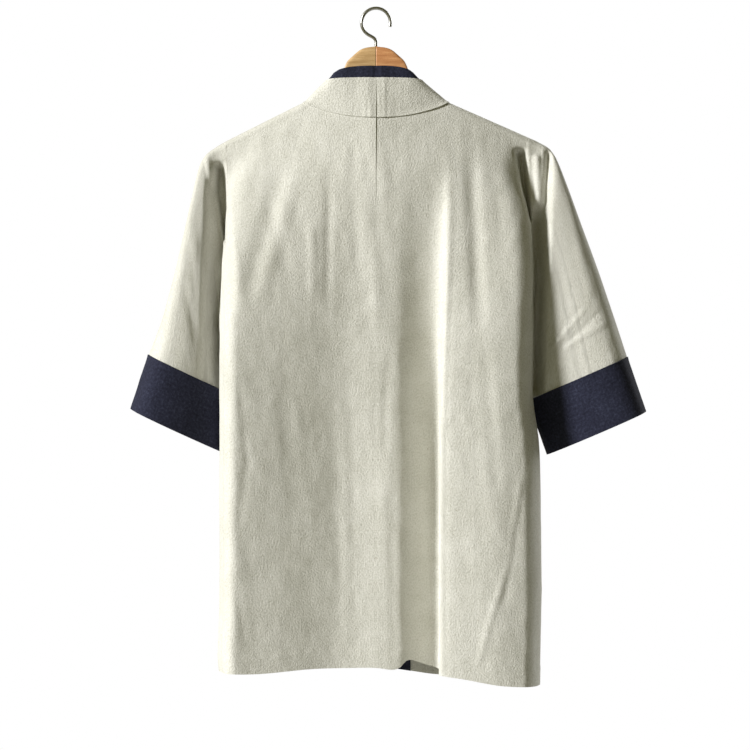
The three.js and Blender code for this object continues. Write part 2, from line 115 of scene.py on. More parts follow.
# The largest folds hang down the body: place across at the top and at the hem, drops where one starts, is
# full and ends (0 runs out at the hem), depth (a ridge is negative), reach towards -X and +X.
hangingFolds = {
    "back": {
        "top": (105, 59, -116, 90, -88, 22),
        "low": (172, 60, -128, 152, -80, -10),
        "start": (160, 180, 160, 175, 180, 180),
        "full": (240, 260, 230, 260, 280, 300),
        "end": (400, 400, 420, 400, 420, 430),
        "depth": (2, 1.5, 3, -1.4, -1.4, -1.6),
        "minus": (18, 10, 16, 16, 14, 22),
        "plus": (20, 9, 14, 18, 20, 22),
    },
    "front": {
        "top": (118, 160, -112, -150, -180, 96),
        "low": (132, 164, -122, -158, -100, 92),
        "start": (175, 250, 170, 210, 330, 420),
        "full": (290, 400, 300, 340, 470, 560),
        "end": (0, 0, 0, 0, 760, 0),
        "depth": (12, -6, 9, -6, 5, -5),
        "minus": (20, 16, 22, 18, 16, 14),
        "plus": (24, 14, 18, 18, 18, 14),
    },
}

# The back's deep pleat, right of the centre seam: depth across it at the hem, sideways tuck under its sharp
# edge, the drops where it starts and is full, and the edge's lean at the top.
pleat = {
    "across": (
        -212, -188, -150, -112, -92, -85, -79, -75, -70, -62,
        -32, -22, -10, 16, 46, 100, 150, 178, 194,
    ),
    "depth": (12, 8, 0, 0, 1, 3, 9, 54, 70, 69, 44, 40, 38.5, 39, 37, 21, 7.5, 1, 0),
    "tuck": (0, 0, 0, 0, 0, 0, 0, -7, -7, -3, 0, 0, 0, 0, 0, 0, 0, 0, 0),
    "centre": -74,  # the edge's place; near it the fold is softer higher up
    "softReach": 45,
    "soften": 0.6,
    "start": 185,
    "full": 560,
    "growth": 0.8,  # below 1 it deepens early
    "lean": -7,
}

# Smaller creases, from one place (across, drop) to another, with depth and reach to each side.
backCreases = {
    "fromAcross": (-17, -20, -160, -178, -163, -139, -172, 80, 158, 168, 30, -135, 118, 132, 176, 41, -6),
    "fromDrop": (425, 600, 175, 590, 690, 765, 640, 270, 560, 470, 180, 430, 470, 240, 700, 500, 190),
    "toAcross": (-9, -22, -176, -163, -139, -126, -158, 78, 172, 158, 22, -150, 95, 110, 160, 36, -16),
    "toDrop": (560, 816, 350, 690, 765, 812, 740, 355, 660, 570, 330, 600, 640, 330, 790, 812, 330),
    "depth": (0.9, 1, -1.6, -1.1, -1.3, -1.2, 0.9, -1.2, 0.8, 0.8, 0.9, 1, 1, 1, 0.8, -0.8, -0.8),
    "reach": (9, 10, 20, 6, 6, 6, 9, 10, 9, 8, 12, 13, 16, 14, 9, 12, 14),
}
frontCreases = {
    "fromAcross": (120, 150, -120, -150, 100, -96, 165, -170),
    "fromDrop": (230, 560, 250, 540, 430, 470, 380, 400),
    "toAcross": (165, 120, -168, -118, 88, -86, 140, -140),
    "toDrop": (420, 700, 430, 690, 560, 600, 520, 560),
    "depth": (2.2, 2, 2.4, 1.8, 1.6, 1.6, -2, -2),
    "reach": (14, 12, 14, 12, 9, 9, 14, 14),
}


# A straight mix: a where the share is 0 and b where it is 1.
def mix(a, b, share):
    return a + (b - a) * share


# A value held between 0 and 1.
def clamp01(value):
    return np.clip(value, 0, 1)


# Eased step: 3v^2 - 2v^3 between 0 and 1.
def ease(value):
    v = clamp01(value)
    return v * v * (3 - 2 * v)


# A column of a table at places along its key column: cubic pieces whose slopes are the mean rises of the rows
# on either side.
def along(table, key, place, column):
    keys, values = np.array(table[key], float), np.array(table[column], float)
    row = np.arange(len(keys))
    before, after = np.maximum(row - 1, 0), np.minimum(row + 1, len(keys) - 1)
    slopes = (values[after] - values[before]) / (keys[after] - keys[before])
    place = np.clip(place, keys[0], keys[-1])
    i = np.clip(np.searchsorted(keys, place, side="right") - 1, 0, len(keys) - 2)
    span = keys[i + 1] - keys[i]
    t = (place - keys[i]) / span
    bow = span * t * (1 - t) * ((1 - t) * slopes[i] - t * slopes[i + 1])
    return mix(values[i], values[i + 1], ease(t)) + bow


# Smooth noise from -1 to 1: random heights on a unit lattice, joined by eased steps.
def noise(x, y, seed):
    heights = np.random.default_rng(seed).uniform(-1, 1, (256, 256))
    i, j = np.floor(x).astype(int), np.floor(y).astype(int)
    s, t = ease(x - i), ease(y - j)

    def at(a, b):
        return heights[(i + a) % 256, (j + b) % 256]

    return mix(mix(at(0, 0), at(1, 0), s), mix(at(0, 1), at(1, 1), s), t)


# Layers of a linen cloth's crumple: depth, width and length of each, and how much it slants either way.
crumples = {
    "kind": ("wave", "wave", "dent", "pucker", "fine"),
    "deep": (0.9, 0.5, 0.32, 0.4, 0.12),
    "wide": (38, 19, 9, 14, 4.5),
    "long": (120, 52, 15, 24, 6),
    "slant": (0, 1 / 90, 0, 1 / 60, 0),
    "tilt": (0, 0, 0, -1 / 70, 0),
}
puckerLevel = 0.45  # what the puckers' ridges rise above


# Crumple over flat sizes a and b: the sum of the layers' noises. A pucker is the fold of an absolute value.
def crumple(a, b, seed, amount):
    total = 0
    columns = (crumples[name] for name in ("kind", "deep", "wide", "long", "slant", "tilt"))
    for layer, (kind, deep, wide, length, slant, tilt) in enumerate(zip(*columns)):
        height = noise(a / wide + b * slant, b / length + a * tilt, seed + layer)
        if kind == "pucker":
            height = puckerLevel - np.abs(height)
        total = total + deep * height
    return amount * total


# A cosine hollow over each crease of a table: its depth falls off across the line with the distance over the
# reach, which may narrow towards the crease's end, and along it towards both ends.
def creaseDepth(table, x, drop, softEnd=0.3):
    total = np.zeros(np.broadcast(x, drop).shape)
    table = {"endReach": table["reach"], **table}
    columns = ("fromAcross", "fromDrop", "toAcross", "toDrop", "depth", "reach", "endReach")
    for x0, d0, x1, d1, depth, reach, endReach in zip(*(table[name] for name in columns)):
        length = math.hypot(x1 - x0, d1 - d0)
        ax, ad = (x1 - x0) / length, (d1 - d0) / length
        t = ((x - x0) * ax + (drop - d0) * ad) / length
        off = ((x - x0) * ad - (drop - d0) * ax) / mix(reach, endReach, clamp01(t))
        ends = ease((t + softEnd / 2) / softEnd) * ease((1 + softEnd / 2 - t) / softEnd)
        total = total + depth * ends * np.cos(np.minimum(np.abs(off), 1) * math.pi / 2) ** 2
    return total


# Outward direction at each point of a grid: the cross product of its two tangents, times a sign.
def gridNormals(points, sign, ring=False):
    if ring:
        wrapped = np.concatenate([points[:, -1:], points, points[:, :1]], axis=1)
        across = wrapped[:, 2:] - wrapped[:, :-2]
    else:
        across = np.gradient(points, axis=1)
    normal = np.cross(across, np.gradient(points, axis=0)) * sign
    return normal / np.maximum(np.linalg.norm(normal, axis=2, keepdims=True), 1e-9)


# Flat sizes of a grid: distances along each row from its start and down each column from its top.
def flatSizes(points, ring=False):
    closed = np.concatenate([points, points[:, :1]], axis=1) if ring else points
    across = np.linalg.norm(np.diff(closed, axis=1), axis=2)
    down = np.linalg.norm(np.diff(closed, axis=0), axis=2)
    a = np.concatenate([np.zeros((len(points), 1)), np.cumsum(across, axis=1)], axis=1)
    b = np.concatenate([np.zeros((1, closed.shape[1])), np.cumsum(down, axis=0)], axis=0)
    return a, b


# An object put in the scene.
def placed(name, data):
    made = bpy.data.objects.new(name, data)
    scene.collection.objects.link(made)
    return made


# A mesh from a grid of points, with flat sizes in metres as its UV map. A ring joins its last column to the
# first. Its cut edges are kept sharp.
def gridMesh(name, points, look, ring=False):
    rows, columns = points.shape[:2]
    spans = columns if ring else columns - 1
    i, j = np.divmod(np.arange((rows - 1) * spans), spans)
    row, below, right = i * columns, (i + 1) * columns, (j + 1) % columns
    quads = np.stack([row + j, below + j, below + right, row + right], axis=1)
    mesh = bpy.data.meshes.new(name)
    mesh.from_pydata((points.reshape(-1, 3) * mm).tolist(), [], quads.tolist())

    def atCorners(grid):
        return np.stack([grid[i, j], grid[i + 1, j], grid[i + 1, j + 1], grid[i, j + 1]], axis=1)

    uv = np.stack([atCorners(grid) for grid in flatSizes(points, ring)], axis=2)
    mesh.uv_layers.new(name="cloth").data.foreach_set("uv", (uv.reshape(-1) * mm).astype(np.float32))
    mesh.validate()
    mesh.shade_smooth()
    edges = np.zeros(len(mesh.loops), dtype=np.int32)
    mesh.loops.foreach_get("edge_index", edges)
    cutEdges = np.bincount(edges, minlength=len(mesh.edges)) == 1
    mesh.attributes.new("sharp_edge", "BOOLEAN", "EDGE").data.foreach_set("value", cutEdges)
    mesh.materials.append(look)
    return placed(name, mesh)


# A cloth piece: the grid mesh with half the cloth's thickness on each side of it.
def clothPiece(kind, side, points, look, ring=False):
    made = gridMesh(f"{kind}{side.title()}", points, look, ring)
    solid = made.modifiers.new("thickness", "SOLIDIFY")
    solid.thickness = cloth["wall"] * mm
    solid.offset = 0
    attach(made, "root")
    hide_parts(f"{kind}_{side}")


class Signal:  # a shader socket that takes part in sums
    def __init__(self, look, socket):
        self.look = look
        self.socket = socket

    def sum(self, operation, *values):
        return self.look.node("ShaderNodeMath", {"operation": operation}, dict(enumerate(values)))

    def __add__(self, other):
        return self.sum("ADD", self, other)

    def __sub__(self, other):
        return self.sum("SUBTRACT", self, other)

    def __rsub__(self, other):
        return self.sum("SUBTRACT", other, self)

    def __mul__(self, other):
        return self.sum("MULTIPLY", self, other)

    def between(self, low, high):
        eased = {"interpolation_type": "SMOOTHSTEP"}
        return self.look.node("ShaderNodeMapRange", eased, {0: self, 1: low, 2: high})

    __radd__ = __add__


class Look:  # one material, or the world, with its nodes
    def __init__(self, name, world=False):
        self.data = (bpy.data.worlds if world else bpy.data.materials).new(name)
        self.data.use_nodes = True
        self.tree = self.data.node_tree
        self.shader = self.tree.nodes["Background" if world else "Principled BSDF"]

    def node(self, kind, settings=None, sockets=None, output=0):
        made = self.tree.nodes.new(kind)
        for name, value in (settings or {}).items():
            setattr(made, name, value)
        for name, value in (sockets or {}).items():
            if isinstance(value, Signal):
                self.tree.links.new(value.socket, made.inputs[name])
            else:
                made.inputs[name].default_value = value
        return Signal(self, made.outputs[output])

    def stretched(self, vector, scale):
        return self.node("ShaderNodeVectorMath", {"operation": "MULTIPLY"}, {0: vector, 1: scale})

    # Noise of a size in metres.
    def grain(self, vector, size, detail=2.0, roughness=0.5, distortion=0.0):
        sockets = {"Vector": vector, "Scale": 1 / size, "Detail": detail, "Roughness": roughness}
        sockets["Distortion"] = distortion
        return self.node("ShaderNodeTexNoise", None, sockets)

    # Sine bands across an axis, bent by a noise.
    def bands(self, vector, axis, pitch, turns, bend, bendScale, detail=2.0):
        sockets = {"Vector": vector, "Scale": turns / pitch, "Distortion": bend, "Detail Scale": bendScale}
        sockets["Detail"] = detail
        return self.node("ShaderNodeTexWave", {"bands_direction": axis, "wave_profile": "SIN"}, sockets)

    def blend(self, share, first, second):
        return self.node("ShaderNodeMix", {"data_type": "RGBA"}, {0: share, 6: first, 7: second}, 2)

    def finish(self, constants, **links):
        for name, value in constants.items():
            self.shader.inputs[name].default_value = value
        for name, signal in links.items():
            self.tree.links.new(signal.socket, self.shader.inputs[name.replace("_", " ")])
        return self.data


# A colour from its screen values, 0 to 255, as linear light: the screen's curve is a power of 2.4.
def colour(red, green, blue):
    return tuple(((v / 255 + 0.055) / 1.055) ** 2.4 for v in (red, green, blue)) + (1,)


linen = {
    "light": colour(236, 235, 231),
    "mid": colour(220, 219, 212),
    "shade": colour(192, 191, 180),
    "fleck": colour(142, 128, 98),
    "thread": 0.00085,  # spacing of the yarns
    "crepe": 0.0021,  # size of the crinkle's grains
    "bump": 0.0018,
    "sheen": 0.04,
    "shine": 0.2,
}
navy = {
    "light": colour(62, 66, 86),
    "mid": colour(41, 43, 60),
    "shade": colour(25, 26, 39),
    "fleck": colour(66, 70, 88),
    "thread": 0.0009,
    "crepe": 0.003,
    "bump": 0.0005,
    "sheen": 0.03,
    "shine": 0.12,
}

# What both linens share. Sizes are metres, and a stretch below 1 draws grains out along that axis.
weave = {
    "warpStretch": (1, 0.12, 1),
    "weftStretch": (0.1, 1, 1),
    "slubSize": (1.6, 1.8),  # in yarns, of the warp and the weft
    "warpBands": (0.314, 1.2, 0.6),  # scale that gives one a yarn, bend and the bend's scale
    "weftBands": (0.3, 1.4, 0.6),
    "crepeStretch": (1, 0.88, 1),
    "crinkleStretch": (1, 0.8, 1),
    "crinkleSize": 5,  # in grains of the crepe
    "cloudSize": 0.06,
    "fleckStretch": (1, 0.45, 1),
    "fleckSize": 0.0019,
    "fleckRange": (0.74, 0.8),
    "fleckShare": 0.7,
    "toneShares": (0.55, 0.2, 0.25),  # of the crepe, the slubs and the clouds
    "toneStops": (0.34, 0.52, 0.7),
    "heightShares": (0.2, 0.25, 0.09),  # of the crinkle, the slubs and the yarns, beside the crepe
    "bumpStrength": 0.8,
    "rough": (0.96, 0.14),  # and how much smoother a slub is
    "sheenRough": 0.5,
}


# A ramp of three tones, dark to light, over a signal.
def toneRamp(look, signal, places, tones):
    ramp = look.node("ShaderNodeValToRGB", None, {"Fac": signal})
    stops = ramp.socket.node.color_ramp.elements
    for place, tone in zip(places, tones):
        stops.new(place).color = tone
    stops.remove(stops[0])
    stops.remove(stops[-1])
    return ramp


# Linen: a plain weave grained by washing, with a few dark flecks. Its tone is a sum of the crepe's grains,
# the slubs and the clouds, and its height one of the crepe, the crinkle, the slubs and the yarns.
def linenLook(name, tones):
    look = Look(name)
    uv = look.node("ShaderNodeUVMap", {"uv_map": "cloth"})
    pitch = tones["thread"]
    warpSize, weftSize = weave["slubSize"]
    warpSlub = look.grain(look.stretched(uv, weave["warpStretch"]), pitch * warpSize, 3)
    weftSlub = look.grain(look.stretched(uv, weave["weftStretch"]), pitch * weftSize, 3)
    warp = look.bands(uv, "X", pitch, *weave["warpBands"])
    weft = look.bands(uv, "Y", pitch, *weave["weftBands"])
    crepe = look.grain(look.stretched(uv, weave["crepeStretch"]), tones["crepe"], 3, 0.65)
    crinkleSize = tones["crepe"] * weave["crinkleSize"]
    crinkle = look.grain(look.stretched(uv, weave["crinkleStretch"]), crinkleSize, 2, 0.5, 0.8)
    cloudy = look.grain(uv, weave["cloudSize"], 3, 0.6)
    fleck = look.grain(look.stretched(uv, weave["fleckStretch"]), weave["fleckSize"], 1)
    fleck = fleck.between(*weave["fleckRange"])
    slub = warpSlub * 0.5 + weftSlub * 0.5
    crepeTone, slubTone, cloudTone = weave["toneShares"]
    tone = crepe * crepeTone + slub * slubTone + cloudy * cloudTone
    base = toneRamp(look, tone, weave["toneStops"], (tones["shade"], tones["mid"], tones["light"]))
    base = look.blend(fleck * weave["fleckShare"], base, tones["fleck"])
    crinkleHigh, slubHigh, yarnHigh = weave["heightShares"]
    height = crepe + crinkle * crinkleHigh + slub * slubHigh + (warp + weft) * yarnHigh
    sockets = {"Height": height, "Strength": weave["bumpStrength"], "Distance": tones["bump"]}
    bump = look.node("ShaderNodeBump", None, sockets)
    rough, slubSmooth = weave["rough"]
    constants = {"Sheen Weight": tones["sheen"], "Sheen Roughness": weave["sheenRough"]}
    constants["Specular IOR Level"] = tones["shine"]
    return look.finish(constants, Base_Color=base, Roughness=rough - slub * slubSmooth, Normal=bump)


creamLinen = linenLook("creamLinen", linen)
navyLinen = linenLook("navyLinen", navy)


wood = {
    "honey": (colour(166, 130, 84), colour(194, 158, 110), colour(218, 184, 136)),
    "amber": (colour(176, 116, 72), colour(204, 144, 96), colour(226, 170, 118)),
    "grainStretch": (0.08, 1, 1),
    "grainSize": 0.0016,
    "ringStretch": (0.16, 1, 1),
    "rings": (38, 5.5, 1.4, 3),  # scale to the metre, bend, its scale and its detail
    "poreStretch": (0.03, 1, 1),
    "poreSize": 0.0006,
    "poreRange": (0.58, 0.7),
    "poreShare": 0.25,
    "toneShares": (0.75, 0.16),  # of the grain and the rings
    "toneStops": (0.2, 0.45, 0.7),
    "bump": 0.0002,
    "bumpStrength": 0.3,
    "rough": (0.42, 0.16),  # and how much rougher a light grain is
    "lacquer": {"Coat Weight": 0.25, "Coat Roughness": 0.25, "Specular IOR Level": 0.45},
}


# Lacquered wood: long grain along the arm with soft rings and fine pores, whose sum is the tone.
def woodLook(name, tones):
    look = Look(name)
    place = look.node("ShaderNodeTexCoord", None, None, 3)
    grain = look.grain(look.stretched(place, wood["grainStretch"]), wood["grainSize"], 4, 0.6)
    rings = look.bands(look.stretched(place, wood["ringStretch"]), "Z", 1, *wood["rings"])
    pores = look.grain(look.stretched(place, wood["poreStretch"]), wood["poreSize"], 2)
    pores = pores.between(*wood["poreRange"])
    grainTone, ringTone = wood["toneShares"]
    base = toneRamp(look, grain * grainTone + rings * ringTone, wood["toneStops"], tones)
    base = look.blend(pores * wood["poreShare"], base, tones[0])
    sockets = {"Height": grain - pores, "Strength": wood["bumpStrength"], "Distance": wood["bump"]}
    bump = look.node("ShaderNodeBump", None, sockets)
    rough, grainRough = wood["rough"]
    rough = rough + grain * grainRough
    return look.finish(wood["lacquer"], Base_Color=base, Roughness=rough, Normal=bump)


honeyWood = woodLook("honeyWood", wood["honey"])
amberWood = woodLook("amberWood", wood["amber"])


steel = {
    "dull": colour(150, 150, 148),
    "bright": colour(206, 205, 202),
    "lineStretch": (1, 1, 0.1),
    "lineSize": 0.0005,
    "rough": 0.2,
}


# Polished wire with fine drawing lines, which are up to twice as rough.
def steelLook():
    look = Look("hookSteel")
    place = look.node("ShaderNodeTexCoord", None, None, 3)
    lines = look.grain(look.stretched(place, steel["lineStretch"]), steel["lineSize"], 3)
    base = look.blend(lines, steel["dull"], steel["bright"])
    rough = steel["rough"] + lines * steel["rough"]
    return look.finish({"Metallic": 1.0}, Base_Color=base, Roughness=rough)


hookSteel = steelLook()
print("materials made")


# Drop of the shoulder ridge at a distance from the centre, a straight slope that goes on inside the neck.
def ridgeDrop(side, across):
    return cut["neckPointDrop"] + sides[side]["slope"] * (across - cut["neckHalf"])


# Drop of a back column's top: the neck seam's power curve, then the shoulder ridge.
def topDrop(side, across):
    share = clamp01(across / cut["neckHalf"])
    neck = cut["neckDrop"] - (cut["neckDrop"] - cut["neckPointDrop"]) * share ** cut["neckCurve"]
    return np.where(across >= cut["neckHalf"], ridgeDrop(side, across), neck)


# How far the hanger's arm lies forward: the square of the distance from the centre.
def armForward(across):
    return -cut["tipBend"] * np.minimum(1, across / cut["bendReach"]) ** 2


# Depth of a panel from the hanger's plane: a quarter round over the arm, then opening like a tent.
def standOff(face, below, drop):
    radius = cut["armRadius"]
    rounded = np.minimum(below, radius)
    over = np.sqrt(np.maximum(0, radius**2 - (radius - rounded) ** 2))
    opened = clamp01((below - radius) / cut["tentReach"])
    return over + (along(depths, "drop", drop, face) - radius) * (1 - (1 - opened) ** 2)


# Depth or tuck of the pleat, grown from its start: its places across are spread about the edge by a bell
# curve that fades as the pleat grows.
def pleatAt(x, drop, column):
    grown = clamp01((drop - pleat["start"]) / (pleat["full"] - pleat["start"]))
    off = x - pleat["centre"] - pleat["lean"] * (1 - grown)
    spread = 1 - pleat["soften"] * (1 - grown) * np.exp(-((off / pleat["softReach"]) ** 2))
    shape = along(pleat, "across", pleat["centre"] + off * spread, column)
    return shape * ease(grown) ** pleat["growth"]


# Sum of the hanging folds: each is a squared cosine across its line, grown from its start and faded at its
# end. The back's has the pleat too.
def foldDepth(face, x, drop):
    columns = ("top", "low", "start", "full", "end", "depth", "minus", "plus")
    rows = zip(*(hangingFolds[face][name] for name in columns))
    total = pleatAt(x, drop, "depth") if face == "back" else 0
    for top, low, start, full, end, depth, minus, plus in rows:
        line = mix(top, low, clamp01((drop - start) / ((end or cut["hemLine"]) - start)))
        off = x - line
        reach = np.minimum(np.abs(off) / np.where(off < 0, minus, plus), 1)
        fading = 1 - ease((drop - end + cut["foldFade"]) / cut["foldFade"]) if end else 1
        shape = np.cos(reach * math.pi / 2) ** 2
        total = total + depth * ease((drop - start) / (full - start)) * fading * shape
    return total


# Middle surface of a body panel: u runs from its inner edge to the side, flat at first and then round an arc.
def panelPoints(side, face, u, drop):
    shape, half = faces[face], along(sides[side]["halves"], "drop", drop, "half")
    gap = cloth["seamGap"]
    inner = cloth["meet"] if face == "back" else along(frontEdges, "drop", drop, "across") + gap
    innerTop = cloth["meet"] if face == "back" else cut["neckHalf"]
    acrossTop = mix(innerTop, sides[side]["seamTip"], u)
    closed = ease((drop - cut["underarmTop"]) / (cut["underarmDrop"] - cut["underarmTop"]))
    curled = clamp01((u - shape["straight"]) / (1 - shape["straight"]))
    turn = np.radians(mix(shape["curl"], 90, closed)) * curled
    flat = mix(inner, half - cut["foldRadius"], np.minimum(1, u / shape["straight"]))
    leave = ease((drop - topDrop(side, acrossTop)) / cut["columnReach"])
    across = mix(acrossTop, flat + cut["foldRadius"] * np.sin(turn), leave)
    below = np.maximum(0, drop - ridgeDrop(side, across))
    full = standOff(face, below, drop)
    edge = shape["sign"] * cut["sideSeamDepth"] + cloth["turnedGap"]
    swing = mix(shape["share"] * ease(below / cut["rollReach"]) * full, full - edge, closed)
    fold = foldDepth(face, signs[side] * across, drop) * np.maximum(0, np.cos(turn))
    middle = armForward(across) * (1 - ease(below / cut["bendFade"]))
    depth = middle + shape["sign"] * (full - swing * (1 - np.cos(turn)) - fold)
    return np.stack(np.broadcast_arrays(signs[side] * across, depth, -drop), axis=-1)


# Angles from 0 to 180: a mix of steps even in angle and of steps whose cosines are even.
def turnAngles(count):
    t = np.linspace(0, 1, count + 1)
    return mix(180 * t, np.degrees(np.arccos(1 - 2 * t)), cut["evenInHeight"])


# Drop at an armhole angle: from the top to the underarm by half of 1 minus its cosine.
def armholeDrop(top, degrees):
    return mix(top, cut["underarmDrop"], (1 - np.cos(np.radians(degrees))) / 2)


body = {
    "back": {"columns": 84, "upperRows": 92, "lowerRows": 140, "creases": backCreases, "seed": 11},
    "front": {"columns": 52, "upperRows": 80, "lowerRows": 120, "creases": frontCreases, "seed": 31},
    "crumple": 0.75,
    "topFade": 25,  # drop over which the crumple fades in
    "sideFade": 0.06,  # share of the width over which it fades out
    "centreFade": 10,
    "neckLower": 0.85,  # how far below the neck seam the back ends
    "neckPull": 0.5,
    "neckReach": 5,
    "seamDip": 0.08,  # how far the centre seam pulls the cloth in
    "seamReach": 1.6,
}


# Folds where the sleeves hang, which run over the armhole's seam: tucks behind the body's edge with an abrupt
# upper end, and the ridges beside them.
shoulderFolds = {
    "left": {
        "fromAcross": (196, 211, 199),
        "fromDrop": (193, 186, 215),
        "toAcross": (188, 192, 190),
        "toDrop": (292, 290, 475),
        "depth": (18, -2.5, 19),
        "reach": (10, 6, 17),
        "endReach": (3, 5, 38),
    },
    "right": {
        "fromAcross": (-180, -201, -216, -205),
        "fromDrop": (176, 182, 176, 250),
        "toAcross": (-193, -203, -213, -202),
        "toDrop": (262, 240, 250, 475),
        "depth": (21, -4, 8, 22),
        "reach": (11, 7, 7, 17),
        "endReach": (4, 6, 8, 12),
    },
    "softEnd": 0.12,
    "startFade": 14,
    "bodyEnd": 395,
    "bodyFade": 60,
    "sleeveFade": (25, 30),  # degrees from the shoulder and from the underarm
}


# Depth of the shoulder folds at points of the body or a sleeve, as of other creases but with short ends.
def shoulderDip(side, points):
    return creaseDepth(shoulderFolds[side], points[..., 0], -points[..., 2], shoulderFolds["softEnd"])


# Grid of a body panel: rows by armhole angle above the underarm, then even rows to the hem. Shoulder folds
# push it forward, and creases, crumple, the hem's turn-up and the seams' pull move it along its normals.
def bodyPanel(side, face):
    made = body[face]
    sign = signs[side]
    u = np.linspace(0, 1, made["columns"] + 1)
    innerTop = cloth["meet"] if face == "back" else cut["neckHalf"]
    acrossTop = mix(innerTop, sides[side]["seamTip"], u)
    seam = np.where((face == "back") & (acrossTop < cut["neckHalf"]), body["neckLower"], 0)
    top = topDrop(side, acrossTop) + seam
    low = panelPoints(side, face, u, np.full(u.shape, float(hems["back"][0])))[:, 0]
    hem = along(hems, "across", low, face)
    upper = armholeDrop(top, turnAngles(made["upperRows"])[:, None])
    lower = mix(cut["underarmDrop"], hem, np.linspace(0, 1, made["lowerRows"] + 1)[1:, None])
    drop = np.concatenate([upper, lower])
    points = panelPoints(side, face, u, drop)
    points[0, :, 1] += faces[face]["sign"] * cloth["turnedGap"]
    if face == "back":
        points[..., 0] += pleatAt(points[..., 0], drop, "tuck")
        dip = shoulderDip(side, points) * ease((drop - top) / shoulderFolds["startFade"])
        points[..., 1] -= dip * ease((shoulderFolds["bodyEnd"] - drop) / shoulderFolds["bodyFade"])
    normal = gridNormals(points, sign * faces[face]["sign"])
    a = flatSizes(points)[0]
    edgeFade = ease((drop - top) / body["topFade"]) * ease((1 - u) / body["sideFade"])
    out = crumple(sign * a, drop, made["seed"] + (sign > 0) * 7, body["crumple"])
    out = out * edgeFade * ease(a / body["centreFade"])
    out -= creaseDepth(made["creases"], points[..., 0], drop) * np.abs(normal[..., 1]) * edgeFade
    toHem = hem - drop
    toStitches = toHem - cloth["hemWidth"]
    out += cloth["hemProud"] * (1 - ease(toStitches / cloth["hemStep"] + 0.5))
    wander = 2 * noise(a / cloth["stitchWander"], toHem / cloth["stitchWander"], 5)
    stitches = cloth["stitchDeep"] * np.sin(a / cloth["stitchWave"] + wander)
    out += stitches * np.exp(-((toStitches / cloth["stitchReach"]) ** 2))
    if face == "back":
        pull = np.exp(-((a / body["seamReach"]) ** 2))
        out -= body["seamDip"] * pull * (1 + 0.35 * noise(drop / 9, a * 0, 3))
    nearNeck = np.exp(-(((drop - top) / body["neckReach"]) ** 2))
    out -= body["neckPull"] * nearNeck * (acrossTop < cut["neckHalf"])
    return points + normal * out[..., None]


for face in ("back", "front"):
    for side in ("left", "right"):
        clothPiece(face, side, bodyPanel(side, face), creamLinen)
print("body panels made")

# Sections of the sleeves from the armhole (run 0) to the cuff's seam (1) and hem: the outer and the inner end
# of each section, and how far its back and its front swell.
sleeves = {
    "left": {
        "run": (0, 0.06, 0.14, 0.24, 0.4, 0.6, 0.8, 1, 1.33),
        "outX": (188, 200, 214, 223, 238, 252, 267, 281, 304),
        "outY": (-10, -11, -12, -12, -12, -12, -10, -8, -6),
        "outDrop": (164, 171, 182, 202, 268, 330, 390, 433, 501),
        "inX": (195, 196, 194, 192, 190, 189, 189, 190, 198),
        "inY": (-3, -9, -17, -26, -38, -49, -57, -63, -64),
        "inDrop": (398, 403, 409, 416, 429, 445, 461, 477, 552),
        "back": (10, 9, 17, 21, 26, 32, 36, 38, 40),
        "front": (22, 21, 26, 28, 32, 38, 44, 48, 48),
    },
    "right": {
        "run": (0, 0.06, 0.14, 0.24, 0.4, 0.6, 0.8, 1, 1.33),
        "outX": (191, 204, 219, 231, 257, 278, 297, 314, 338),
        "outY": (-10, -11, -12, -12, -13, -14, -15, -16, -18),
        "outDrop": (159, 165, 175, 198, 268, 325, 381, 434, 503),
        "inX": (196, 197, 195, 193, 191, 190, 191, 196, 220),
        "inY": (-3, -9, -17, -26, -37, -46, -52, -55, -52),
        "inDrop": (398, 404, 411, 420, 436, 454, 471, 486, 555),
        "back": (10, 9, 16, 27, 34, 39, 42, 43, 43),
        "front": (22, 21, 26, 28, 31, 36, 40, 43, 43),
    },
}

# Creases on the back of the sleeves and the cuffs, as on the body.
sleeveCreases = {
    "left": {
        "fromAcross": (236, 250, 228, 262, 246),
        "fromDrop": (300, 360, 430, 330, 240),
        "toAcross": (224, 232, 212, 270, 236),
        "toDrop": (420, 440, 520, 420, 330),
        "depth": (1.8, -1.8, 1.6, 1.4, 1.4),
        "reach": (9, 9, 9, 8, 9),
    },
    "right": {
        "fromAcross": (-231, -236, -241, -222, -262, -286, -250, -300),
        "fromDrop": (442, 449, 446, 300, 320, 470, 250, 452),
        "toAcross": (-270, -289, -299, -244, -276, -306, -262, -330),
        "toDrop": (396, 399, 412, 420, 380, 520, 330, 500),
        "depth": (2.2, -1.8, 2, 1.2, 1.1, 1.2, 1, 1.4),
        "reach": (5, 6, 5.5, 12, 9, 8, 11, 6),
    },
}

sleeve = {
    "halfTurn": 72,  # angles round half a sleeve
    "rows": 88,
    "rowPower": 1.25,  # above 1 the rows lie closer at the armhole
    "cuffRows": 30,
    "blend": 0.24,  # run over which the armhole's shape turns into the sleeve's
    "allowance": (0.958, 0.972, 0.986),  # where the seam allowance lies on the panel, inside it
    "allowanceDeep": 1.6,
    "seamClose": 0.05,  # how far past the body's edge the sleeve starts
    "cuffProud": 0.9,
    "backPower": 0.55,
    "cuffStart": 1.002,
    "cuffEnd": 1.33,
    "crumple": 0.35,
    "startFade": 0.12,  # runs over which it fades at the armhole and at the cuff
    "endFade": 0.03,
    "cuffCrumple": 0.5,
    "cuffFade": 0.06,
    "ringFade": 20,  # how near the ring's start it fades
    "creaseFade": 0.05,
    "facing": 1.6,  # how soon a crease ends where the cloth turns away
    "frontShift": (9, 22),  # where the front has the back's creases, and how much of them
    "frontShare": 0.6,
    "cuffShare": 0.5,
    "cuffPull": 0.5,
    "cuffReach": 4,
}


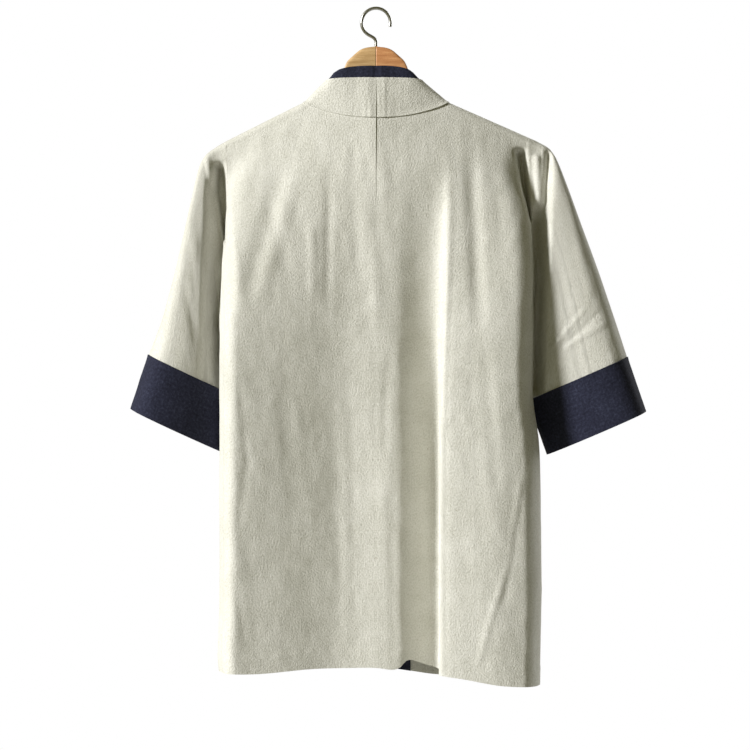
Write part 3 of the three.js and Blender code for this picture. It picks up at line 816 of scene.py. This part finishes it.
# Ring of a sleeve at each run, about the line between its ends: half an ellipse for the front, and for the
# back a flatter one, whose sine is raised to a power below 1.
def sleeveRings(side, run, degrees, proud=0.0):
    sign, table = signs[side], sleeves[side]
    take = {name: along(table, "run", run, name) for name in table if name != "run"}
    outer, inner = (
        np.stack([sign * take[end + "X"], take[end + "Y"], -take[end + "Drop"]], axis=-1)[:, None]
        for end in ("out", "in")
    )
    half = (outer - inner) / 2
    length = np.linalg.norm(half, axis=2, keepdims=True)
    line = half / length
    swell = np.array([0, 1, 0]) - line * line[..., 1:2]
    swell = swell / np.linalg.norm(swell, axis=2, keepdims=True)
    angle = np.radians(degrees)[None, :, None]
    deep = np.where(degrees[None, :] > 0, take["back"][:, None], take["front"][:, None])[..., None] + proud
    bulge = np.where(angle > 0, np.abs(np.sin(angle)) ** sleeve["backPower"], np.sin(angle))
    return (outer + inner) / 2 + half * np.cos(angle) * (1 + proud / length) + swell * bulge * deep


# Ring that follows the armhole at a place u on the two panels, moved on past them and outwards from them.
def armholeRing(side, degrees, u, ahead, outwards):
    drop = armholeDrop(topDrop(side, sides[side]["seamTip"]), degrees)
    rings = {}
    for face in ("back", "front"):
        here, before = np.full_like(drop, u), np.full_like(drop, u - 0.02)
        place = panelPoints(side, face, here, drop)
        onward = place - panelPoints(side, face, before, drop)
        onward /= np.linalg.norm(onward, axis=1, keepdims=True)
        out = np.cross(onward, panelPoints(side, face, here, drop + 1) - place)
        out *= signs[side] * faces[face]["sign"] / np.linalg.norm(out, axis=1, keepdims=True)
        rings[face] = place + onward * ahead + out * outwards
    return np.where(degrees[:, None] >= 0, rings["back"], rings["front"])


# Angles right round a sleeve: 0 to 180 over the back, then the same ones below 0 over the front.
def fullTurn():
    half = turnAngles(sleeve["halfTurn"])
    return np.concatenate([half, -half[-2:0:-1]])


# Crumple of a ring grid, faded out near the ring's start, where its ends meet.
def ringCrumple(points, seed, amount):
    a, b = flatSizes(points, True)
    closing = ease(np.minimum(a[:, :-1], a[:, -1:] - a[:, :-1]) / sleeve["ringFade"])
    return crumple(a[:, :-1], b[:, :-1], seed, amount) * closing


# Depth of a sleeve's creases where its cloth faces back (1) or forward (-1), on points moved by a shift.
def facingCreases(side, points, normal, facing, shift=(0, 0)):
    depth = creaseDepth(sleeveCreases[side], points[..., 0] + shift[0], shift[1] - points[..., 2])
    return depth * clamp01(facing * normal[..., 1] * sleeve["facing"])


# Grid of a sleeve: a seam allowance inside the body, then the armhole ring moved along with the sleeve's
# sections, easing into them. The shoulder folds go on over its back, with creases and crumple.
def sleeveGrid(side):
    degrees, sign = fullTurn(), signs[side]
    run = np.linspace(0, 1, sleeve["rows"] + 1) ** sleeve["rowPower"]
    rings, root = sleeveRings(side, run, degrees), sleeveRings(side, np.zeros(1), degrees)
    moved = rings - root + armholeRing(side, degrees, 1, sleeve["seamClose"], 0)[None]
    points = mix(moved, rings, ease(run / sleeve["blend"])[:, None, None])
    inside = [armholeRing(side, degrees, u, 0, -sleeve["allowanceDeep"]) for u in sleeve["allowance"]]
    inside.append(armholeRing(side, degrees, 1, 0, -sleeve["allowanceDeep"] * 0.5))
    inside = np.stack(inside)
    fadeTop, fadeUnder = shoulderFolds["sleeveFade"]
    onBack = ease(degrees / fadeTop) * ease((180 - degrees) / fadeUnder) * (degrees > 0)
    for part in (inside, points):
        part[..., 1] -= shoulderDip(side, part) * onBack
    normal = gridNormals(points, sign, True)
    fade = (ease(run / sleeve["startFade"]) * ease((1 - run) / sleeve["endFade"]))[:, None]
    out = ringCrumple(points, 51 + (sign > 0) * 9, sleeve["crumple"]) * fade
    out -= facingCreases(side, points, normal, 1) * ease(run / sleeve["creaseFade"])[:, None]
    shift = (sign * sleeve["frontShift"][0], sleeve["frontShift"][1])
    out -= facingCreases(side, points, normal, -1, shift) * sleeve["frontShare"] * fade
    return np.concatenate([inside, points + normal * out[..., None]])


# Grid of a cuff: the sleeve's sections past its end, standing off it and drawn in at the seam.
def cuffGrid(side):
    degrees, sign = fullTurn(), signs[side]
    run = np.linspace(sleeve["cuffStart"], sleeve["cuffEnd"], sleeve["cuffRows"] + 1)
    points = sleeveRings(side, run, degrees, sleeve["cuffProud"])
    normal = gridNormals(points, sign, True)
    fade = ease((run - run[0]) / sleeve["cuffFade"])[:, None]
    out = ringCrumple(points, 71 + (sign > 0) * 9, sleeve["cuffCrumple"]) * fade
    out -= facingCreases(side, points, normal, 1) * sleeve["cuffShare"] * fade
    down = flatSizes(points, True)[1][:, :-1]
    out -= sleeve["cuffPull"] * (1 - ease(down / sleeve["cuffReach"]))
    return points + normal * out[..., None]


for side in ("left", "right"):
    clothPiece("sleeve", side, sleeveGrid(side), creamLinen, True)
    clothPiece("cuff", side, cuffGrid(side), navyLinen, True)
print("sleeves and cuffs made")

# The free edge of the collar band, from the centre back (run 0) over the shoulder (1) and down the front.
bandEdges = {
    "run": (0, 0.35, 0.7, 0.88, 1, 1.04, 1.08, 1.22, 1.4, 1.65, 1.85, 2.1, 2.2),
    "across": (0, 24, 43, 53, 59, 59.5, 56, 44, 33, 25, 23, 23, 23),
    "depth": (15, 14, 12.5, 9, 0, -11, -15, -20, -30, -42, -49, -53, -54),
    "drop": (86, 86, 86.5, 87.5, 90, 97, 106, 165, 262, 420, 600, 780, 835),
}
bandFrontRuns = {
    "run": (1, 1.08, 1.22, 1.4, 1.65, 1.85, 2.1, 2.2),
    "drop": (116, 142, 190, 275, 424, 600, 780, 835),
}
band = {
    "height": 49,
    "trimShow": 15,
    "trimWidth": 36,
    "shoulderRun": 1,
    "rows": 260,
    "columns": 16,
    "trimColumns": 12,
    "crumple": 0.35,
    "lap": 1.2,  # how far the band laps the cloth it is sewn to
    "lapLift": 1.5,
    "lapReach": 5,
    "edgeGaps": 3,  # seam gaps between the front's edge and the band's start
    "trimLift": -1.75,
    "seed": 91,
    "centreReach": 4,
    "centrePull": 0.5,
    "hemFade": 12,
    "pucker": {"deep": 0.5, "wide": 3.5, "long": 34, "reach": 26},
    "ripple": {"deep": 0.35, "wave": 5.5, "middle": 14, "reach": 18},
}


# Share of the band's length at which the front's hem lies at a place across.
def hemShare(sign, across):
    return along(hems, "across", sign * across, "front") / bandEdges["drop"][-1]


# Band surface: straight lines from the seam on the neck and front edge to the free edge.
def bandPoints(side, run, width):
    sign = signs[side]
    lower = ease(run - band["shoulderRun"])
    across = mix(cloth["meet"], cut["neckHalf"], np.minimum(run, 1))
    neckLine = topDrop(side, across)
    below = np.maximum(0, neckLine - ridgeDrop(side, across))
    depth = armForward(across) + standOff("back", below, neckLine)
    neck = np.stack([sign * across, depth, -neckLine], axis=-1)
    drop = along(bandFrontRuns, "run", run, "drop") * mix(1, hemShare(sign, frontEdges["across"][-1]), lower)
    edge = panelPoints(side, "front", np.zeros_like(drop), drop)
    edge[:, 0] -= sign * band["edgeGaps"] * cloth["seamGap"]
    seam = np.where((run <= band["shoulderRun"])[:, None], neck, edge)
    spread = mix(sides[side]["neckSpread"], 1, lower)
    free = np.stack(
        [
            sign * np.maximum(cloth["meet"], spread * along(bandEdges, "run", run, "across")),
            along(bandEdges, "run", run, "depth"),
            -along(bandEdges, "run", run, "drop") * mix(1, hemShare(sign, bandEdges["across"][-1]), lower),
        ],
        axis=-1,
    )
    return mix(seam[:, None], free[:, None], (width / band["height"])[None, :, None])


# Grid of a band or trim between two widths, moved out by its lift, with puckers near the centre seam that
# fade by bell curves.
def bandGrid(side, start, end, columns, lift):
    sign = signs[side]
    run = np.linspace(0, bandEdges["run"][-1], band["rows"] + 1)
    width = np.linspace(start, end, columns + 1)
    points = bandPoints(side, run, width)
    normal = gridNormals(points, sign)
    lift = lift + band["lapLift"] * (1 - ease((width[None, :] - start) / band["lapReach"])) * (start < 0)
    a, b = flatSizes(points)
    seed = band["seed"] + len(side)
    centre = np.exp(-((b / band["centreReach"]) ** 2))
    out = crumple(b, a * 2, seed, band["crumple"]) * ease((b[-1:] - b) / band["hemFade"])
    pucker, ripple = band["pucker"], band["ripple"]
    puckers = pucker["deep"] * noise(b / pucker["wide"], width[None, :] / pucker["long"], seed + 5)
    out += puckers * np.exp(-((b / pucker["reach"]) ** 2))
    ripples = ripple["deep"] * np.sin(b / ripple["wave"])
    out += ripples * np.exp(-(((b - ripple["middle"]) / ripple["reach"]) ** 2))
    out = out * (1 - centre) - band["centrePull"] * centre
    return points + normal * (out + lift)[..., None]


for side in ("left", "right"):
    points = bandGrid(side, -band["lap"], band["height"], band["columns"], 0)
    clothPiece("collar", side, points, creamLinen)
    start = band["height"] + band["trimShow"] - band["trimWidth"]
    points = bandGrid(side, start, start + band["trimWidth"], band["trimColumns"], band["trimLift"])
    clothPiece("trim", side, points, navyLinen)
print("collar and trim made")

hanger = {
    "thickness": 11,
    "squareness": 0.42,  # below 1 squares the section
    "armDepth": 15,
    "humpDepth": 34,
    "humpReach": 75,
    "humpHalf": 44,
    "humpBlend": 12,
    "underRidge": 3.8,
    "tipHalf": 173,
    "tipRound": 7,
    "steps": 160,
    "sides": 40,
}
humpTop = {"across": (0, 12, 20, 29, 36, 40, 43, 50), "drop": (46, 47.5, 50.5, 58, 65, 74, 86, 98)}


# A tube's rings with one more at each end, all of whose points are the end's middle.
def capped(rings, first, last):
    start, end = np.broadcast_to(first, rings[:1].shape), np.broadcast_to(last, rings[-1:].shape)
    return np.concatenate([start, rings, end])


# Half of the hanger: a rounded rectangle carried from the centre to the tip, between its top line and under
# line, and bent forward with the arm. Its ends close on a point.
def hangerGrid(side):
    sign = signs[side]
    across = np.linspace(cloth["meet"], hanger["tipHalf"], hanger["steps"] + 1)
    tip = hanger["tipRound"] * ease((across - hanger["tipHalf"] + hanger["tipRound"]) / hanger["tipRound"])
    line = ridgeDrop(side, across) + hanger["underRidge"] + tip
    hump = along(humpTop, "across", across, "drop")
    top = -mix(hump, line, ease((across - hanger["humpHalf"]) / hanger["humpBlend"]))
    under = top - mix(hanger["humpDepth"], hanger["armDepth"], ease(across / hanger["humpReach"]))
    middle, half = (top + under) / 2, (top - under) / 2
    angle = np.linspace(0, 2 * math.pi, hanger["sides"], endpoint=False)
    c, s = np.cos(angle), np.sin(angle)
    high = np.sign(s) * np.abs(s) ** hanger["squareness"]
    deep = np.sign(c) * np.abs(c) ** hanger["squareness"]
    x = sign * across[:, None] + 0 * angle
    y = armForward(across)[:, None] + hanger["thickness"] / 2 * deep
    z = middle[:, None] + half[:, None] * high
    grid = np.stack([x, y, z], axis=-1)
    return capped(grid, grid[:1].mean(axis=1, keepdims=True), grid[-1:].mean(axis=1, keepdims=True))


# A solid piece: the capped ring grid, with the points of each cap joined and its faces turned outwards.
def solidPiece(name, points, look, node):
    made = gridMesh(name, points, look, True)
    work = bmesh.new()
    work.from_mesh(made.data)
    bmesh.ops.remove_doubles(work, verts=work.verts, dist=1e-6)
    bmesh.ops.recalc_face_normals(work, faces=work.faces)
    work.to_mesh(made.data)
    work.free()
    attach(made, "root")
    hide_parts(node)


solidPiece("hangerLeft", hangerGrid("left"), honeyWood, "hanger_left")
solidPiece("hangerRight", hangerGrid("right"), amberWood, "hanger_right")

hook = {
    "wire": 2,
    "radius": 18,
    "start": -62,  # angles of the circle, degrees
    "end": 196,
    "stemFoot": 45.6,
    "stemTop": 40,
    "sides": 20,
    "steps": 120,
    "stemSteps": 24,
}


# The hook: a wire's round section carried up a straight stem and round most of a circle, whose inside top is
# the origin, joined by an eased curve.
def hookGrid():
    centre = hook["wire"] - hook["radius"]
    angle = np.radians(np.linspace(hook["start"], hook["end"], hook["steps"]))
    arcHigh = centre + hook["radius"] * np.sin(angle)
    arc = np.stack([hook["radius"] * np.cos(angle), 0 * angle, arcHigh], axis=1)
    t = np.linspace(0, 1, hook["stemSteps"], endpoint=False)[:, None]
    foot, top = np.array([0, 0, -hook["stemFoot"]]), np.array([0, 0, -hook["stemTop"]])
    rise = np.array([0, 0, 1])
    lead = np.array([-np.sin(angle[0]), 0, np.cos(angle[0])])
    reach = np.linalg.norm(arc[0] - top)
    bow = t * (1 - t) * reach * ((1 - t) * rise - t * lead)
    path = np.concatenate([mix(foot, top, t), mix(top, arc[0], ease(t)) + bow, arc])
    ahead = np.gradient(path, axis=0)
    ahead /= np.linalg.norm(ahead, axis=1, keepdims=True)
    across = np.array([0, 1.0, 0])
    out = np.cross(ahead, across)
    turn = np.linspace(0, 2 * math.pi, hook["sides"], endpoint=False)[None, :, None]
    tube = path[:, None] + hook["wire"] * (np.cos(turn) * out[:, None] + np.sin(turn) * across)
    return capped(tube, path[:1, None], path[-1:, None])


solidPiece("hookWire", hookGrid(), hookSteel, "hook")
print("hanger and hook made")

view = {"distance": 3500, "centre": (1.25, -456.5), "frameWidth": 937.5, "sensor": 36}
camera = placed("camera", bpy.data.cameras.new("camera"))
camera.data.sensor_width = view["sensor"]
camera.data.lens = view["sensor"] * view["distance"] / view["frameWidth"]
camera.location = (view["centre"][0] * mm, view["distance"] * mm, view["centre"][1] * mm)
camera.rotation_euler = (math.pi / 2, 0, math.pi)
scene.camera = camera

studio = {
    "floorDrop": 1550,
    "floorRadius": 2100,
    "floorRings": 12,
    "floorSides": 64,
    "floorTones": ((0.74, 0.74, 0.73, 1), (0.8, 0.8, 0.79, 1)),
    "floorCloud": 0.5,  # size of its mottling, metres
    "seen": (1.0, 1.0, 1.0, 1),  # what the camera sees behind the object
    "fill": (1.0, 0.93, 0.34, 1),  # light of the room on the object, brighter from the lamp's side
    "fillDim": 0.05,
    "fillBright": 0.21,
    "keyAcross": 60,  # angle of the light from the object's back towards its left side, degrees
    "keyHigh": 19,
    "keyWide": 12,
    "keyPower": 5.0,
    "keyTint": (1.0, 0.995, 0.985),
    "frontAim": (-0.85, -0.7, 0.4),
    "frontWide": 40,
    "frontPower": 1.9,
}


# Floor: a flat disc of rings round its centre.
def floorGrid():
    radius = np.linspace(0, studio["floorRadius"], studio["floorRings"])[:, None]
    angle = np.linspace(0, 2 * math.pi, studio["floorSides"], endpoint=False)[None, :]
    low = 0 * angle * radius - studio["floorDrop"]
    return np.stack([radius * np.cos(angle), radius * np.sin(angle), low], axis=-1)


floorLook = Look("paleFloor")
floorPlace = floorLook.node("ShaderNodeTexCoord", None, None, 3)
floorTone = floorLook.blend(floorLook.grain(floorPlace, studio["floorCloud"]), *studio["floorTones"])
floorLook.finish({"Roughness": 0.9}, Base_Color=floorTone)
floor = gridMesh("floor", floorGrid(), floorLook.data, True)

# The room: its light on the object grows towards the lamp's side, and what the camera sees of it is even.
room = Look("room", True)
towardsLamp = room.node("ShaderNodeSeparateXYZ", None, {0: room.node("ShaderNodeTexCoord")}).between(-1, 1)
seen = room.node("ShaderNodeLightPath")
light = studio["fillDim"] + towardsLamp * (studio["fillBright"] - studio["fillDim"])
room.finish({}, Color=room.blend(seen, studio["fill"], studio["seen"]), Strength=light + seen * (1 - light))
scene.world = room.data
scene.view_settings.view_transform = "Standard"


# A lamp whose light comes from the aim's direction, as soft as its width in degrees.
def sunLamp(name, aim, wide, power, tint):
    lamp = bpy.data.lights.new(name, "SUN")
    lamp.angle = math.radians(wide)
    lamp.energy = power
    lamp.color = tint
    placed(name, lamp).rotation_euler = Vector(aim).to_track_quat("Z", "Y").to_euler()


across, high = math.radians(studio["keyAcross"]), math.radians(studio["keyHigh"])
keyAim = (math.sin(across), math.cos(across), math.tan(high))
sunLamp("key", keyAim, studio["keyWide"], studio["keyPower"], studio["keyTint"])
# A weaker soft light for the object's front, so that it reads from that side too.
sunLamp("frontLight", studio["frontAim"], studio["frontWide"], studio["frontPower"], (1, 1, 1))
print("camera, floor and light made")
